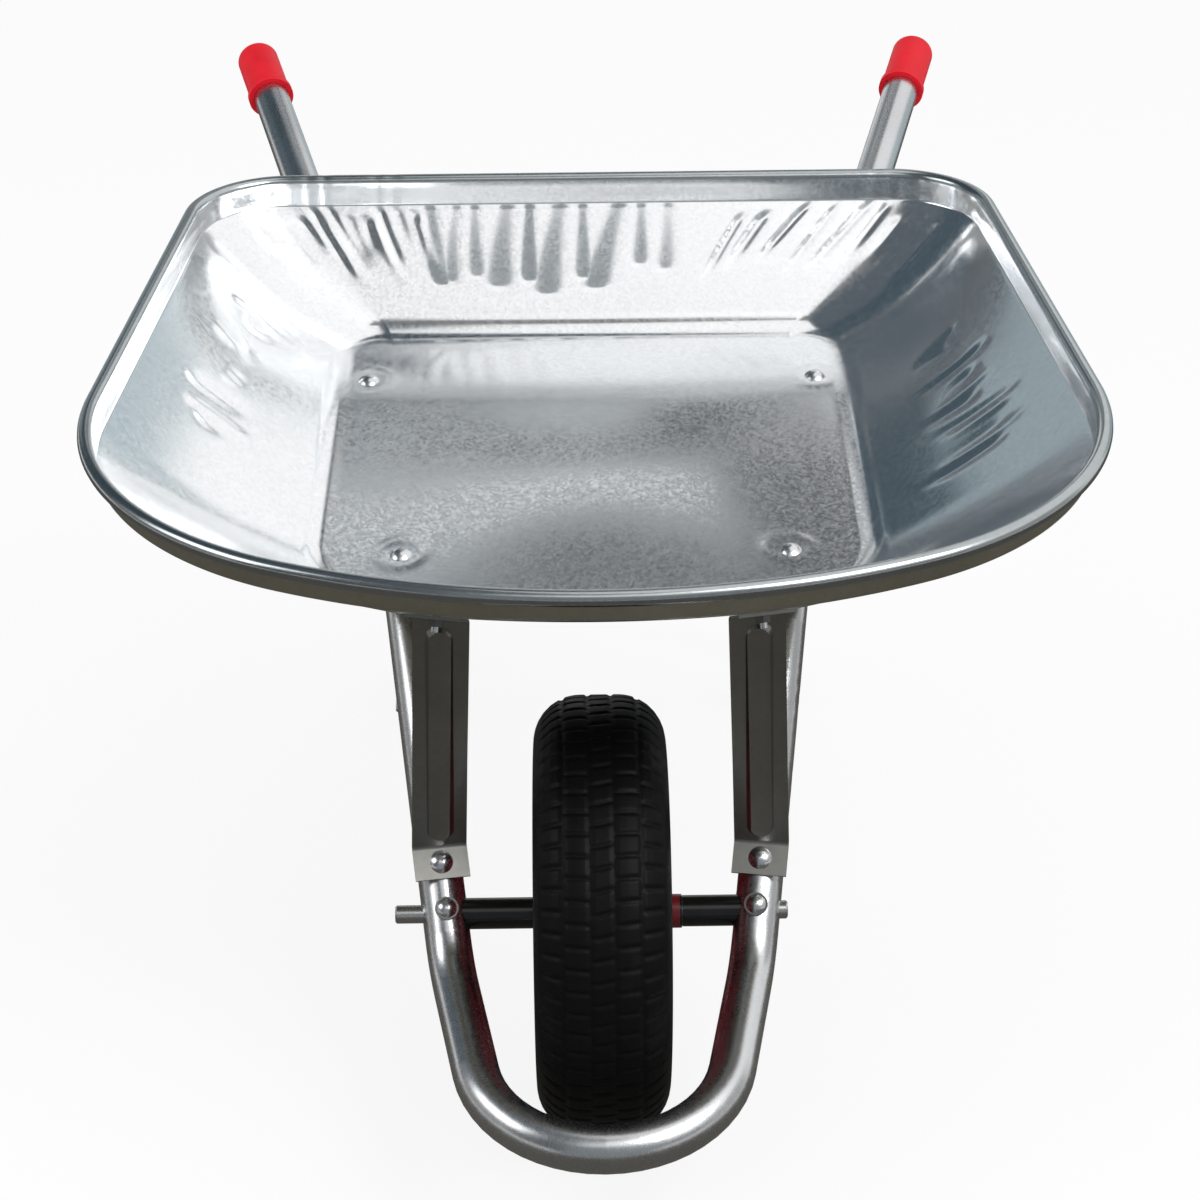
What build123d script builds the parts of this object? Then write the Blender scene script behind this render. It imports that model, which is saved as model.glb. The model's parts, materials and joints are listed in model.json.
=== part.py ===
from build123d import *
import os
from math import asin, atan, cos, degrees, radians, sin, tan

os.makedirs("parts", exist_ok=True)

# Fits shared by the whole part, all in millimetres.
SEAT = 0.15            # radial play of a piece pushed over another
BOLT_PLAY = 0.3        # radial play of a bolt in its hole
THREAD_PLAY = 0.1      # radial play of a nut on its bolt
RUN_PLAY = 0.05        # radial running play of the wheel bushes on the axle
REST = 0.05            # gap where a flat face rests on a round tube
SIDE_PLAY = 0.4        # end play of the wheel between its spacers

# Wheel: tyre, tube, split rim and hub.
TYRE_D = 334.0
TYRE_W = 101.0
TYRE_WALL = 7.0
SHOULDER_R = 36.0
SEAT_R = 76.0          # radius on which the tyre beads sit
BEAD_HALF = 40.0       # half width over the tyre beads
BEAD_W = 9.0
BEAD_TOP_R = 90.0      # radius where the bead turns into the side wall
BELLY_R = 112.0        # radius where the side wall is widest
BEAD_BEND = 2.0
NECK_BEND = 12.0
BELLY_BEND = 20.0
GROOVE_W = 3.0
GROOVE_DEEP = 2.4
GROOVES = (-27.0, -9.0, 9.0, 27.0)
BAG_GAP = 0.3          # gap between the inner tube and the tyre
BAG_WALL = 2.5
BAG_BEND = 8.0
RIM_T = 2.0
RIM_DISH = 12.0        # how far the rim disc leans out at the valve
RIM_STEP = 6.0
FLANGE_R = 87.0
RIM_BOLT_R = 47.0
RIM_BOLTS = 4
HUB_D = 26.0
HUB_BORE = 20.0
HUB_LEFT = -48.0
HUB_RIGHT = 60.0
BUSH_L = 24.0
BUSH_FLANGE = 1.6
VALVE_R = 5.0
VALVE_AT = 63.0
VALVE_X = 6.0
VALVE_IN = 16.0        # stem inside the rim
VALVE_OUT = 18.0       # thick stem outside the rim
VALVE_NECK = 10.0
VALVE_THREAD = 1.2     # step from the stem to its thin neck
VALVE_BORE_R = 1.6
VALVE_CAP_L = 12.0

# Axle and its spacers.
AXLE_D = 14.0
AXLE_Z = TYRE_D / 2
AXLE_LEFT = -158.0
AXLE_RIGHT = 143.0
SPACER_D = 24.0
COPE_PLAY = 0.3        # gap between the hollowed end of a spacer and the round tube
AXLE_CHAMFER = 1.2

# Frame: one tube bent from grip to grip round the front of the wheel.
TUBE_D = 35.0
TUBE_WALL = 1.8
FORK_HALF = 120.0      # tube centre from the middle, at the axle
NECK_DROP = 30.0       # the neck runs on this far in front of the axle
NECK_R = 80.0
BOW_REACH = 215.0      # tube centre at the bow, in front of the axle
BOW_Z = 104.0
BOW_CORNER = 79.5      # half width of the bow's two bends before rounding
BOW_R = 95.0
FRONT_BEND_Y = 182.0
FRONT_BEND_R = 80.0
REAR_BEND_Y = 580.0
REAR_BEND_R = 150.0
HANDLE_END = (335.8, 1016.4, 557.1)

# Tray: pressed sheet with a sloping floor, flared walls and a rolled rim.
SHEET = 1.2
FLOOR_FRONT = (120.0, 356.8)    # y and z of the middle of the floor's front edge
FLOOR_SLOPE = atan(0.16)
FLOOR = dict(front=0.0, back=450.4, half=226.0, nose_r=900.0, nose_half=140.0, taper=0.5, heel_r=45.0)
FLOOR_ROUND = 22.0
RIM_FRONT = (-144.0, 508.0)
RIM_SLOPE = atan(49 / 778)
RIM = dict(front=0.0, back=779.5, half=392.0, nose_r=560.0, nose_half=230.0, taper=5.1, heel_r=88.0)
ROLL_D = 12.0
COLLAR = 27.0          # height of the upright band under the rim
TRAY_BOLTS = ((156.7, 217.0), (196.4, 486.0))

# Front struts from the neck of the frame to the front wall of the tray.
STRUT_W = 42.0
STRUT_T = 2.5
FOOT_AT = 36.0         # foot bolt, along the neck from the axle
FOOT_L = 13.0          # foot either side of its bolt
HEAD_L = 14.0
HEAD_GAP = 0.8         # the flat head stands this far off the bowed wall
BEND_R = 4.0           # inside radius of the bends at both ends
STRUT_TOP = (116.0, 0.70)      # x of the top bolt, and how far up the front wall it sits
RIB_W = 22.0
RIB_H = 3.0
RIB_END = 7.0
RIB_TAPER = 35.0       # degrees

# Grips.
GRIP_L = 76.0
GRIP_D = 41.0
GRIP_LIP_D = 45.0
GRIP_LIP_L = 7.0
GRIP_LIP_FALL = 2.0    # slope from the lip down to the grip
GRIP_END = 5.0
GRIP_ROUND = 9.0

# Legs: a hairpin tube each side with flattened ends, a skid plate and one cross brace.
LEG_D = 25.0
LEG_WALL = 1.5
LEG_FRONT_Y = 430.0
LEG_REAR_Y = 655.0
LEG_FOOT = ((180.0, 645.0), (182.0, 725.0))
LEG_BEND_R = 40.0
TONGUE = (34.0, 4.5)
TONGUE_END = 12.0
TONGUE_ROOT = 26.0
TONGUE_BLEND = 42.0
SKID = (34.0, 96.0, 3.0)
SKID_CORNER = 6.0
BRACE = (25.0, 3.0)
BRACE_CORNER = 5.0
BRACE_OVER = 15.0      # brace past its bolt at each end
BRACE_Z = 215.0

# Fasteners: diameter of the shank, head, across flats, nut height.
M8 = dict(d=7.8, head=18.0, cap=4.4, flats=13.0, nut=6.5)
M6 = dict(d=5.8, head=15.0, cap=3.6, flats=10.0, nut=5.0)
WASHER_T = 1.6
WASHER_R = 10.0
CUP_R = 9.0           # cup washer under the axle lock bolt
THREAD_OUT = 4.0       # thread that stands out of the nut


def at(p, axis, x_dir=None):
    return Plane(origin=Vector(*p), x_dir=x_dir, z_dir=Vector(*axis))


def rod(p, axis, r, length):
    return Solid.make_cylinder(r, length, at(p, axis))


def ring(p, axis, r_out, r_in, length):
    return rod(p, axis, r_out, length) - rod(p, axis, r_in, length)


def dome(p, axis, r, h):
    ball = (r * r + h * h) / (2 * h)
    half = asin(r / ball) / 2
    mid = (ball * sin(half), h - ball + ball * cos(half))
    edge = [Line((0, 0), (r, 0)), ThreePointArc((r, 0), mid, (0, h)), Line((0, h), (0, 0))]
    cap = revolve(Plane.XZ * make_face(edge), Axis.Z)
    return at(p, axis).location * cap


def round_bolt(p, axis, grip, size):
    """Domed bolt whose head rests at p and looks along axis; the shank runs the other way."""
    tail = grip + size["nut"] + THREAD_OUT
    start = Vector(*p) - Vector(*axis).normalized() * tail
    return (dome(p, axis, size["head"] / 2, size["cap"]) + rod(start, axis, size["d"] / 2, tail)).clean()


def hex_nut(p, axis, size):
    flat = RegularPolygon(size["flats"] / 2, 6, major_radius=False) - Circle(size["d"] / 2 + THREAD_PLAY)
    return extrude(at(p, axis) * flat, size["nut"])


def washer(p, axis, size, r):
    return ring(p, axis, r, size["d"] / 2 + BOLT_PLAY, WASHER_T)


def hole(p, axis, size, length):
    start = Vector(*p) - Vector(*axis).normalized() * (length / 2)
    return rod(start, axis, size["d"] / 2 + BOLT_PLAY, length)


def drilled(solid, cuts):
    for cut in cuts:
        solid = solid - cut
    return solid


def mirrored(solid):
    return [solid, mirror(solid, Plane.YZ)]


def around_axle(profile):
    return Pos(0, 0, AXLE_Z) * revolve(profile, Axis.X)


def outline(inset, front, back, half, nose_r, nose_half, taper, heel_r):
    """Tray outline: bowed nose, round cheeks, straight sides that close in, and round heels."""
    lean = asin(nose_half / nose_r)
    turn = radians(taper)
    cheek_r = (half - nose_half) / (1 - sin(lean))
    cheek = Vector((nose_r - cheek_r) * sin(lean), front + nose_r - (nose_r - cheek_r) * cos(lean))
    heel_y = back - heel_r
    reach = cheek.X * cos(turn) + cheek.Y * sin(turn) + cheek_r
    heel = Vector((reach - heel_r - heel_y * sin(turn)) / cos(turn), heel_y)
    side = Vector(cos(turn), sin(turn))
    flip = Vector(-cos(turn), sin(turn))
    cheek_l = Vector(-cheek.X, cheek.Y)
    heel_l = Vector(-heel.X, heel.Y)
    nose_a = degrees(lean)
    cheek_a = 90 - nose_a + taper
    return [
        CenterArc((0, front + nose_r), nose_r - inset, 270 - nose_a, 2 * nose_a),
        CenterArc(cheek, cheek_r - inset, nose_a - 90, cheek_a),
        Line(cheek + side * (cheek_r - inset), heel + side * (heel_r - inset)),
        CenterArc(heel, heel_r - inset, taper, 90 - taper),
        Line(heel + Vector(0, heel_r - inset), heel_l + Vector(0, heel_r - inset)),
        CenterArc(heel_l, heel_r - inset, 90, 90 - taper),
        Line(heel_l + flip * (heel_r - inset), cheek_l + flip * (cheek_r - inset)),
        CenterArc(cheek_l, cheek_r - inset, 180 - taper, cheek_a),
    ]


rim_plane = Plane((0, *RIM_FRONT), (1, 0, 0), (0, -sin(RIM_SLOPE), cos(RIM_SLOPE)))
floor_up = Vector(0, -sin(FLOOR_SLOPE), cos(FLOOR_SLOPE))
floor_plane = Plane((0, *FLOOR_FRONT), (1, 0, 0), floor_up)


def rim_edges(z, inset):
    return [rim_plane.offset(z) * e for e in outline(inset, **RIM)]


def floor_edges(z, inset):
    return [floor_plane.offset(z) * e for e in outline(inset, **FLOOR)]


def floor_z(y):
    return FLOOR_FRONT[1] + (y - FLOOR_FRONT[0]) * tan(FLOOR_SLOPE)


def under(y):
    """Centre of the right frame tube below the floor, on the line of the tray bolts."""
    (x0, y0), (x1, y1) = TRAY_BOLTS
    drop = (SHEET + REST + TUBE_D / 2) / cos(FLOOR_SLOPE)
    return Vector(x0 + (y - y0) * (x1 - x0) / (y1 - y0), y, floor_z(y) - drop)


# Frame tube.
axle_point = Vector(FORK_HALF, 0, AXLE_Z)
front_bend = under(FRONT_BEND_Y)
rear_bend = under(REAR_BEND_Y)
handle_end = Vector(*HANDLE_END)
neck_dir = (front_bend - axle_point).normalized()
handle_dir = (handle_end - rear_bend).normalized()
neck_end = axle_point - neck_dir * (NECK_DROP / neck_dir.Y)
bow_corner = Vector(BOW_CORNER, -BOW_REACH, BOW_Z)
right_run = [bow_corner, neck_end, front_bend, rear_bend, handle_end]
left_run = [Vector(-p.X, p.Y, p.Z) for p in reversed(right_run)]
bends = [REAR_BEND_R, FRONT_BEND_R, NECK_R, BOW_R]
frame_path = FilletPolyline(*left_run, *right_run, radius=[*bends, *reversed(bends)])
tube_start = Plane(frame_path @ 0, (1, 0, 1), frame_path % 0)
tube_ring = Circle(TUBE_D / 2) - Circle(TUBE_D / 2 - TUBE_WALL)
frame_tube = sweep(tube_start * tube_ring, path=frame_path)

neck_up = (Vector(0, 0, 1) - neck_dir * neck_dir.Z).normalized()
axle_hole = rod((-2 * FORK_HALF, 0, AXLE_Z), (1, 0, 0), AXLE_D / 2 + SEAT, 4 * FORK_HALF)
foot_point = axle_point + neck_dir * FOOT_AT
tray_points = [under(y) + floor_up * (SHEET + REST + TUBE_D / 2) for x, y in TRAY_BOLTS]


def handle_point(y):
    return rear_bend + handle_dir * ((y - rear_bend.Y) / handle_dir.Y)


leg_tops = []
for middle, run in (
    (under(LEG_FRONT_Y), rear_bend - front_bend),
    (handle_point(LEG_REAR_Y), handle_dir),
):
    inward = Vector(-run.Y, run.X, 0).normalized()
    leg_tops.append((middle, inward))

frame_cuts = [axle_hole]
for solid in (
    hole(axle_point, neck_up, M6, 2 * TUBE_D),
    hole(foot_point, neck_up, M8, 2 * TUBE_D),
    hole(tray_points[0], floor_up, M8, 4 * TUBE_D),
    hole(tray_points[1], floor_up, M8, 4 * TUBE_D),
    hole(*leg_tops[0], M8, 2 * TUBE_D),
    hole(*leg_tops[1], M8, 2 * TUBE_D),
):
    frame_cuts += mirrored(solid)
frame_tube = drilled(frame_tube, frame_cuts)


# Tray: walls drawn between the floor and the collar, then the rolled rim.
def floor_rounded(solid, z, r):
    plane = floor_plane.offset(z)
    flat = solid.edges().filter_by(lambda e: abs(plane.to_local_coords(e.center()).Z) < 0.01)
    return fillet(flat, r)


fold_lift = 0.45 * SHEET
collar_in = ROLL_D - SHEET
tray_out = loft(
    [
        make_face(floor_edges(-SHEET, 0)),
        make_face(rim_edges(-COLLAR, collar_in)),
        make_face(rim_edges(-ROLL_D / 2, collar_in)),
    ],
    ruled=True,
)
tray_in = loft(
    [
        make_face(floor_edges(0, 0.4 * SHEET)),
        make_face(rim_edges(fold_lift - COLLAR, ROLL_D)),
        make_face(rim_edges(SHEET - ROLL_D / 2, ROLL_D)),
    ],
    ruled=True,
)
tray_out = floor_rounded(tray_out, -SHEET, FLOOR_ROUND + SHEET)
tray_in = floor_rounded(tray_in, 0, FLOOR_ROUND)
roll_path = Wire(rim_edges(-ROLL_D / 2, ROLL_D / 2))
roll_along = roll_path % 0
roll_plane = Plane(roll_path @ 0, roll_along.cross(rim_plane.z_dir), roll_along)
roll_slit = Pos(-0.24 * ROLL_D, 0.42 * ROLL_D) * Rectangle(0.2 * ROLL_D, 0.4 * ROLL_D)
roll_ring = Circle(ROLL_D / 2) - Circle(ROLL_D / 2 - SHEET) - roll_slit
roll = sweep(roll_plane * roll_ring, path=roll_path)
tray = tray_out - tray_in + roll


# Struts: foot on the neck of the frame, head on the outside of the front wall.
nose_low = floor_edges(-SHEET, 0)[0]
nose_high = rim_edges(-COLLAR, collar_in)[0]


def on_wall(u, v):
    return (nose_low @ u) * (1 - v) + (nose_high @ u) * v


low, high = 0.5, 1.0
for step in range(40):
    middle = (low + high) / 2
    if on_wall(middle, STRUT_TOP[1]).X < STRUT_TOP[0]:
        low = middle
    else:
        high = middle
wall_point = on_wall(low, STRUT_TOP[1])
wall_up = (on_wall(low, 1) - on_wall(low, 0)).normalized()
wall_side = on_wall(low + 0.01, STRUT_TOP[1]) - on_wall(low - 0.01, STRUT_TOP[1])
wall_out = wall_side.cross(wall_up).normalized()
wall_side = wall_up.cross(wall_out)

foot_side = neck_dir.cross(neck_up)
foot_mid = foot_point + neck_up * (TUBE_D / 2 + REST + STRUT_T / 2)
head_mid = wall_point + wall_out * (HEAD_GAP + STRUT_T / 2)
foot_fold = foot_mid + neck_dir * FOOT_L
head_fold = head_mid - wall_up * HEAD_L
web_run = head_fold - foot_fold
web_dir = web_run.normalized()


def strip_end(p, side, along):
    return Plane(p, side, along - side * side.dot(along)) * Rectangle(STRUT_W, STRUT_T)


def strip(p, side, along, length):
    start = Plane(p, side, along) * Rectangle(STRUT_W, STRUT_T)
    return extrude(start, length)


def bent(p, side, flat, along):
    """Bend of the strip at p, and how much of the flat end and of the web it takes up."""
    rise = (along - side * side.dot(along)).normalized()
    half = radians(flat.get_angle(rise)) / 2
    middle_r = BEND_R + STRUT_T / 2
    used = middle_r / tan(half)
    centre = p + (flat + rise).normalized() * (middle_r / sin(half))
    axis = side if (p + flat * used - centre).cross(p + rise * used - centre).dot(side) > 0 else side * -1
    start = Plane(p + flat * used, side, flat) * Rectangle(STRUT_W, STRUT_T)
    return revolve(start, Axis(centre, axis), 180 - 2 * degrees(half)), flat * used, rise * used


foot_bend, foot_used, foot_rise = bent(foot_fold, foot_side, neck_dir * -1, web_dir)
head_bend, head_used, head_rise = bent(head_fold, wall_side, wall_up, web_dir * -1)
web_low = strip_end(foot_fold + foot_rise, foot_side, web_dir)
web = loft([web_low, strip_end(head_fold + head_rise, wall_side, web_dir)], ruled=True)
web_front = web_dir.cross((foot_side + wall_side).normalized()).normalized()
if web_front.Y > 0:
    web_front = web_front * -1
rib_plane = Plane((foot_fold + head_fold) / 2, web_dir, web_front)
rib_l = web_run.length - 2 * RIB_END
rib = extrude(rib_plane * SlotOverall(rib_l, RIB_W), STRUT_T / 2 + RIB_H, taper=RIB_TAPER)
hollow_plane = rib_plane.offset(-STRUT_T)
rib_slot = SlotOverall(rib_l - 2 * STRUT_T, RIB_W - 2 * STRUT_T)
rib_hollow = extrude(hollow_plane * rib_slot, STRUT_T / 2 + RIB_H, taper=RIB_TAPER)
strut = web + rib
foot_l = 2 * FOOT_L - foot_used.length
strut = strut + foot_bend + strip(foot_fold + foot_used, foot_side, neck_dir * -1, foot_l)
head_l = 2 * HEAD_L - head_used.length
strut = strut + head_bend + strip(head_fold + head_used, wall_side, wall_up, head_l)
strut_holes = [hole(foot_mid, neck_up, M8, 4 * STRUT_T), hole(head_mid, wall_out, M6, 4 * STRUT_T)]
strut = drilled(strut - rib_hollow, strut_holes)
foot_head = foot_mid + neck_up * (STRUT_T / 2)
foot_grip = STRUT_T + TUBE_D + 2 * REST + WASHER_T
foot_bolt = round_bolt(foot_head, neck_up, foot_grip, M8)
foot_under = foot_point - neck_up * (TUBE_D / 2 + REST)
foot_washer = washer(foot_under, neck_up * -1, M8, WASHER_R)
foot_nut = hex_nut(foot_under - neck_up * WASHER_T, neck_up * -1, M8)
head_inside = wall_point - wall_out * (SHEET + BOLT_PLAY)
head_outside = head_mid + wall_out * (STRUT_T / 2)
head_grip = (head_outside - head_inside).length + REST
head_bolt = round_bolt(head_inside, wall_out * -1, head_grip, M6)
head_nut = hex_nut(head_outside + wall_out * REST, wall_out, M6)

# Tray bolts through the floor and the frame tube.
tray_holes = []
tray_bolts = []
tray_washers = []
tray_nuts = []
for top in tray_points:
    below = top - floor_up * (SHEET + 2 * REST + TUBE_D)
    grip = SHEET + 2 * REST + TUBE_D + WASHER_T
    tray_holes += mirrored(hole(top, floor_up, M8, 2 * TUBE_D))
    tray_bolts += mirrored(round_bolt(top, floor_up, grip, M8))
    tray_washers += mirrored(washer(below, floor_up * -1, M8, WASHER_R))
    tray_nuts += mirrored(hex_nut(below - floor_up * WASHER_T, floor_up * -1, M8))
tray_holes += mirrored(hole(wall_point, wall_out, M6, 8 * SHEET))
tray = drilled(tray, tray_holes)

# Grips.
grip_back = GRIP_END - GRIP_L
grip_points = [
    (TUBE_D / 2 + SEAT, grip_back),
    (GRIP_LIP_D / 2, grip_back),
    (GRIP_LIP_D / 2, grip_back + GRIP_LIP_L),
    (GRIP_D / 2, grip_back + GRIP_LIP_L + GRIP_LIP_FALL),
    (GRIP_D / 2, GRIP_END),
    (0, GRIP_END),
    (0, SEAT),
    (TUBE_D / 2 + SEAT, SEAT),
]
grip_face = make_face(Polyline(*grip_points, close=True))
grip_face = fillet(grip_face.vertices().sort_by(Axis.X)[-4:-2].sort_by(Axis.Y)[-1:], GRIP_ROUND)
grip = Plane(handle_end, z_dir=handle_dir).location * revolve(Plane.XZ * grip_face, Axis.Z)

# Axle, its two lock bolts and the spacers that keep the wheel in the middle.
axle = rod((AXLE_LEFT, 0, AXLE_Z), (1, 0, 0), AXLE_D / 2, AXLE_RIGHT - AXLE_LEFT)
axle = chamfer(axle.edges().filter_by(GeomType.CIRCLE), AXLE_CHAMFER)
axle = drilled(axle, mirrored(hole(axle_point, neck_up, M6, 2 * AXLE_D)))
lock_under = axle_point - neck_up * (TUBE_D / 2 + REST)
lock_top = axle_point + neck_up * (TUBE_D / 2 + REST + WASHER_T)
lock_cup = washer(lock_top - neck_up * WASHER_T, neck_up, M6, CUP_R)
lock_bolt = round_bolt(lock_top, neck_up, TUBE_D + 2 * REST + WASHER_T, M6)
lock_nut = hex_nut(lock_under, neck_up * -1, M6)
fork_start = axle_point - neck_dir * (2 * TUBE_D)
fork = rod(fork_start, neck_dir, TUBE_D / 2 + COPE_PLAY, 4 * TUBE_D)


def spacer(start):
    sleeve = ring((start, 0, AXLE_Z), (1, 0, 0), SPACER_D / 2, AXLE_D / 2 + SEAT, FORK_HALF - start)
    return sleeve - fork


spacer_right = spacer(HUB_RIGHT + BUSH_FLANGE + SIDE_PLAY)
spacer_left = mirror(spacer(-HUB_LEFT + BUSH_FLANGE + SIDE_PLAY), Plane.YZ)

# Wheel.
half_w = TYRE_W / 2
crown = TYRE_D / 2
tyre_side = [
    (BEAD_HALF, SEAT_R, BEAD_BEND),
    (BEAD_HALF, BEAD_TOP_R, NECK_BEND),
    (half_w, BELLY_R, BELLY_BEND),
    (half_w, crown, SHOULDER_R),
]
cavity_side = [
    (half_w - TYRE_WALL, crown - TYRE_WALL, SHOULDER_R - TYRE_WALL),
    (half_w - TYRE_WALL, BELLY_R, BELLY_BEND - TYRE_WALL),
    (BEAD_HALF - BEAD_W, BEAD_TOP_R, NECK_BEND),
]


def section(right, left):
    points = [(x, r) for x, r, bend in right] + [(-x, r) for x, r, bend in left]
    return make_face(FilletPolyline(*points, radius=[p[2] for p in right + left], close=True))


def inset_side(side, gap):
    (x0, r0, b0), (x1, r1, b1), (x2, r2, b2) = side
    low = SEAT_R + BAG_GAP
    return [
        (x2 - gap, low + gap, BAG_BEND),
        (x2 - gap, r2 + gap / 2, b2),
        (x1 - gap, r1 + gap / 2, b1),
        (x0 - gap, r0 - gap, b0 - gap),
    ]


cover = section(tyre_side, tyre_side[::-1])
open_bag = [(BEAD_HALF - BEAD_W, SEAT_R - BEAD_W, 0)] + cavity_side[::-1]
cover = cover - section(open_bag, open_bag[::-1])
for x in GROOVES:
    over = max(0.0, abs(x) - (half_w - SHOULDER_R))
    tread_r = crown - SHOULDER_R + (SHOULDER_R ** 2 - over ** 2) ** 0.5
    cover = cover - Pos(x, tread_r) * Rectangle(GROOVE_W, 2 * GROOVE_DEEP)
tyre = around_axle(cover)

bag_out = inset_side(cavity_side, BAG_GAP)
bag_in = inset_side(cavity_side, BAG_GAP + BAG_WALL)
inner_tube = around_axle(section(bag_out, bag_out[::-1]) - section(bag_in, bag_in[::-1]))

rim_line = [
    (SEAT / 3, HUB_D / 2 + SEAT),
    (SEAT / 3, VALVE_AT - RIM_STEP),
    (RIM_DISH, VALVE_AT + RIM_STEP),
    (BEAD_HALF - BEAD_W - 2 * RIM_T, SEAT_R - SEAT),
    (BEAD_HALF + SEAT, SEAT_R - SEAT),
    (BEAD_HALF + SEAT, FLANGE_R),
]
rim_strip = make_face(offset(Polyline(*rim_line), RIM_T, side=Side.RIGHT))
rim_right = around_axle(rim_strip)
rim_left = mirror(rim_right, Plane.YZ)
hub = ring((HUB_LEFT, 0, AXLE_Z), (1, 0, 0), HUB_D / 2, HUB_BORE / 2, HUB_RIGHT - HUB_LEFT)


def bush(x, out):
    body = ring((x, 0, AXLE_Z), (-out, 0, 0), HUB_BORE / 2 - RUN_PLAY, AXLE_D / 2 + RUN_PLAY, BUSH_L)
    return body + ring((x, 0, AXLE_Z), (out, 0, 0), HUB_D / 2 - RUN_PLAY, AXLE_D / 2 + RUN_PLAY, BUSH_FLANGE)


bush_right = bush(HUB_RIGHT, 1)
bush_left = bush(HUB_LEFT, -1)
rim_bolts = []
rim_nuts = []
for turn in range(RIM_BOLTS):
    spin = Rot(360 * turn / RIM_BOLTS, 0, 0)
    spot = Pos(0, 0, AXLE_Z) * spin
    half_rim = RIM_T + SEAT / 3
    seat_x = half_rim
    rim_bolts.append(spot * round_bolt((-seat_x, 0, RIM_BOLT_R), (-1, 0, 0), 2 * half_rim, M6))
    rim_nuts.append(spot * hex_nut((seat_x, 0, RIM_BOLT_R), (1, 0, 0), M6))
    cut = spot * hole((0, 0, RIM_BOLT_R), (1, 0, 0), M6, 6 * RIM_T)
    rim_right = rim_right - cut
    rim_left = rim_left - cut
valve_spot = Pos(0, 0, AXLE_Z) * Rot(180 / RIM_BOLTS, 0, 0)
valve_dir = Vector(1, 0, -1).normalized()
valve_root = Vector(VALVE_X, 0, VALVE_AT)
valve_start = valve_root - valve_dir * VALVE_IN
valve_end = valve_root + valve_dir * VALVE_OUT
valve_hole = rod(valve_start - valve_dir * VALVE_IN, valve_dir, VALVE_R + SEAT, 2 * VALVE_IN + VALVE_OUT)
rim_right = rim_right - valve_spot * valve_hole
inner_tube = inner_tube - valve_spot * valve_hole
neck_r = VALVE_R - VALVE_THREAD
valve_stem = valve_spot * (
    rod(valve_start, valve_dir, VALVE_R, VALVE_IN + VALVE_OUT)
    + rod(valve_end, valve_dir, neck_r, VALVE_NECK)
    - rod(valve_start, valve_dir, VALVE_BORE_R, VALVE_IN + VALVE_OUT + VALVE_NECK)
)
cap_root = valve_end + valve_dir * SEAT
valve_cap = valve_spot * (
    rod(cap_root, valve_dir, VALVE_R, VALVE_CAP_L) - rod(cap_root, valve_dir, neck_r + SEAT, VALVE_NECK)
)

# Legs.
foot_z = SKID[2] + REST + LEG_D / 2
(foot_front, foot_rear) = [Vector(x, y, foot_z) for x, y in LEG_FOOT]
tongue_mids = [p + n * (TUBE_D / 2 + REST + TONGUE[1] / 2) for p, n in leg_tops]
leg_runs = [(tongue_mids[0] - foot_front).normalized(), (tongue_mids[1] - foot_rear).normalized()]
root = TONGUE_ROOT + TONGUE_BLEND
leg_ends = [p - d * root for p, d in zip(tongue_mids, leg_runs)]
leg_path = FilletPolyline(leg_ends[0], foot_front, foot_rear, leg_ends[1], radius=LEG_BEND_R)
leg_start = Plane(leg_path @ 0, (1, 1, 0), leg_path % 0)
leg = sweep(leg_start * (Circle(LEG_D / 2) - Circle(LEG_D / 2 - LEG_WALL)), path=leg_path)
for middle, run, start, (p, inward) in zip(tongue_mids, leg_runs, leg_ends, leg_tops):
    along = (run - inward * run.dot(inward)).normalized()
    tip_plane = Plane(middle - along * TONGUE_ROOT, along.cross(inward), along)
    flat = tip_plane * RectangleRounded(*TONGUE, TONGUE[1] / 2 - 0.2)
    round_end = Plane(start, along.cross(inward), run) * Circle(LEG_D / 2)
    leg = leg + loft([round_end, tip_plane * Ellipse(TONGUE[0] / 2, TONGUE[1] / 2)])
    leg = leg + extrude(flat, TONGUE_ROOT + TONGUE_END)
    leg = leg - hole(middle, inward, M8, 4 * TONGUE[1])

leg_bolts = []
leg_washers = []
leg_nuts = []
for p, inward in leg_tops:
    head = p + inward * (TUBE_D / 2 + REST + TONGUE[1])
    tail = p - inward * (TUBE_D / 2 + REST)
    leg_bolts += mirrored(round_bolt(head, inward, TUBE_D + 2 * REST + TONGUE[1] + WASHER_T, M8))
    leg_washers += mirrored(washer(tail, inward * -1, M8, WASHER_R))
    leg_nuts += mirrored(hex_nut(tail - inward * WASHER_T, inward * -1, M8))

sole_dir = (foot_rear - foot_front).normalized()
sole_mid = (foot_front + foot_rear) / 2
skid_plane = Plane((sole_mid.X, sole_mid.Y, 0), sole_dir.cross(Vector(0, 0, 1)), (0, 0, 1))
skid = extrude(skid_plane * RectangleRounded(SKID[0], SKID[1], SKID_CORNER), SKID[2])

brace_at = foot_rear + leg_runs[1] * ((BRACE_Z - foot_z) / leg_runs[1].Z)
brace_out = Vector(0, leg_runs[1].Z, -leg_runs[1].Y).normalized()
brace_gap = LEG_D / 2 + REST
brace_mid = Vector(0, brace_at.Y, brace_at.Z) + brace_out * brace_gap
brace_l = 2 * (brace_at.X + BRACE_OVER)
brace_flat = RectangleRounded(brace_l, BRACE[0], BRACE_CORNER)
brace = extrude(Plane(brace_mid, (1, 0, 0), brace_out) * brace_flat, BRACE[1])
brace_holes = mirrored(hole(brace_at, brace_out, M6, 3 * LEG_D))
brace = drilled(brace, brace_holes)
leg = leg - brace_holes[0]
brace_head = brace_at + brace_out * (brace_gap + BRACE[1])
brace_tail = brace_at - brace_out * brace_gap
brace_bolts = mirrored(round_bolt(brace_head, brace_out, LEG_D + 2 * REST + BRACE[1], M6))
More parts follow.
